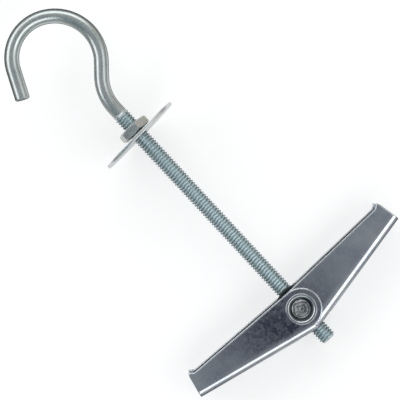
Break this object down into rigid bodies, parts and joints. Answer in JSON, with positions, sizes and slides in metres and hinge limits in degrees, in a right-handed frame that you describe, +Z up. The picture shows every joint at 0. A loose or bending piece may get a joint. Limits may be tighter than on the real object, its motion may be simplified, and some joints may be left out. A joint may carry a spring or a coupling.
{
  "type": "spring toggle bolt",
  "caption": "Ceiling hook bolt with a fine-threaded shank, thin hex nut, large washer and a sprung toggle of two folding channel wings.",
  "frame": {"origin": "on the surface the bolt lies on, under the middle of its bounding box", "axes": "+X along the shank's level direction from the hook to the toggle, +Z up; the shank itself slopes down to the toggle by 5.35 degrees, because the bolt lies on the washer's rim and the trunnion's lower rim"},
  "size_m": [0.1566, 0.0936, 0.0319],
  "materials": {
    "bolt_zinc": "bright blue-white zinc plate on rolled and drawn steel wire",
    "nut_zinc": "satin zinc plate",
    "washer_zinc": "bright zinc plate, stamped edge",
    "trunnion_zinc": "dull zinc plate over turned and rolled steel",
    "spring_steel": "black oiled spring wire",
    "wing_zinc": "blue-grey passivated zinc plate on pressed sheet, fine mottle"
  },
  "bodies": {
    "hook_bolt": {"hook_bolt": "bolt_zinc"},
    "washer": {"washer": "washer_zinc"},
    "hex_nut": {"hex_nut": "nut_zinc"},
    "trunnion": {"trunnion_nut": "trunnion_zinc", "torsion_spring": "spring_steel"},
    "left_wing": {"left_wing": "wing_zinc"},
    "right_wing": {"right_wing": "wing_zinc"}
  },
  "joints": [
    {"name": "washer_slide", "type": "slide", "parent": "hook_bolt", "child": "washer", "axis": [0.9956, 0, -0.0932], "range_m": [-0.005, 0.012]},
    {"name": "nut_spin", "type": "hinge", "parent": "washer", "child": "hex_nut", "pos_m": [-0.02131, -0.00001, 0.01604], "axis": [0.9956, 0, -0.0932], "range_deg": [-1598, 3828]},
    {"name": "toggle_travel", "type": "slide", "parent": "hook_bolt", "child": "trunnion", "axis": [0.9956, 0, -0.0932], "range_m": [-0.022, 0.008]},
    {"name": "left_wing_fold", "type": "hinge", "parent": "trunnion", "child": "left_wing", "pos_m": [0.06321, -0.00001, 0.00813], "axis": [-0.0932, 0, -0.9956], "range_deg": [0, 77], "stiffness_Nm_per_rad": 0.01, "springref_deg": -34.38, "deforming": ["torsion_spring"]},
    {"name": "right_wing_fold", "type": "hinge", "parent": "trunnion", "child": "right_wing", "pos_m": [0.06321, -0.00001, 0.00813], "axis": [0.0932, 0, 0.9956], "range_deg": [0, 78], "stiffness_Nm_per_rad": 0.01, "springref_deg": -34.38, "deforming": ["torsion_spring"]}
  ],
  "couplings": [
    {"joint": "nut_spin", "follows": "washer_slide", "rad_per_m": 5560.3}
  ]
}
